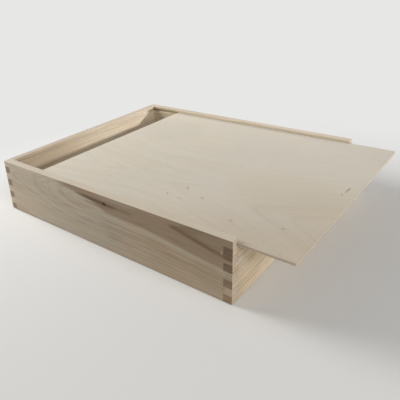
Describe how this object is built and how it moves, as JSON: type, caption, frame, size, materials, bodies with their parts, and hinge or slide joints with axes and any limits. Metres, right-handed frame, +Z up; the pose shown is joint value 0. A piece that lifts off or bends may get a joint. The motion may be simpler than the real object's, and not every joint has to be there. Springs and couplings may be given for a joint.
{
  "type": "sliding lid box",
  "caption": "Flat wooden box for papers and keepsakes, with finger-jointed corners and a thin lid that slides out over its lower end.",
  "frame": {"origin": "centre of the box's underside, which doesn't count the lid where it stands out of the box", "axes": "+Z up, +X towards the open end where the lid slides out, +Y towards the back side"},
  "size_m": [0.3483, 0.266, 0.06],
  "materials": {
    "front_board": "bare sanded softwood with a brown heartwood band",
    "back_board": "bare sanded softwood",
    "closed_end_board": "bare sanded softwood",
    "open_end_board": "bare sanded softwood",
    "bottom_plywood": "bare sanded three-ply",
    "lid_plywood": "bare sanded three-ply"
  },
  "bodies": {
    "box": {"front_side": "front_board", "back_side": "back_board", "closed_end": "closed_end_board", "open_end": "open_end_board", "bottom_panel": "bottom_plywood"},
    "lid": {"sliding_lid": "lid_plywood"}
  },
  "joints": [
    {"name": "lid_slide", "type": "slide", "parent": "box", "child": "lid", "axis": [1, 0, 0], "range_m": [-0.0483, 0.2465]}
  ]
}
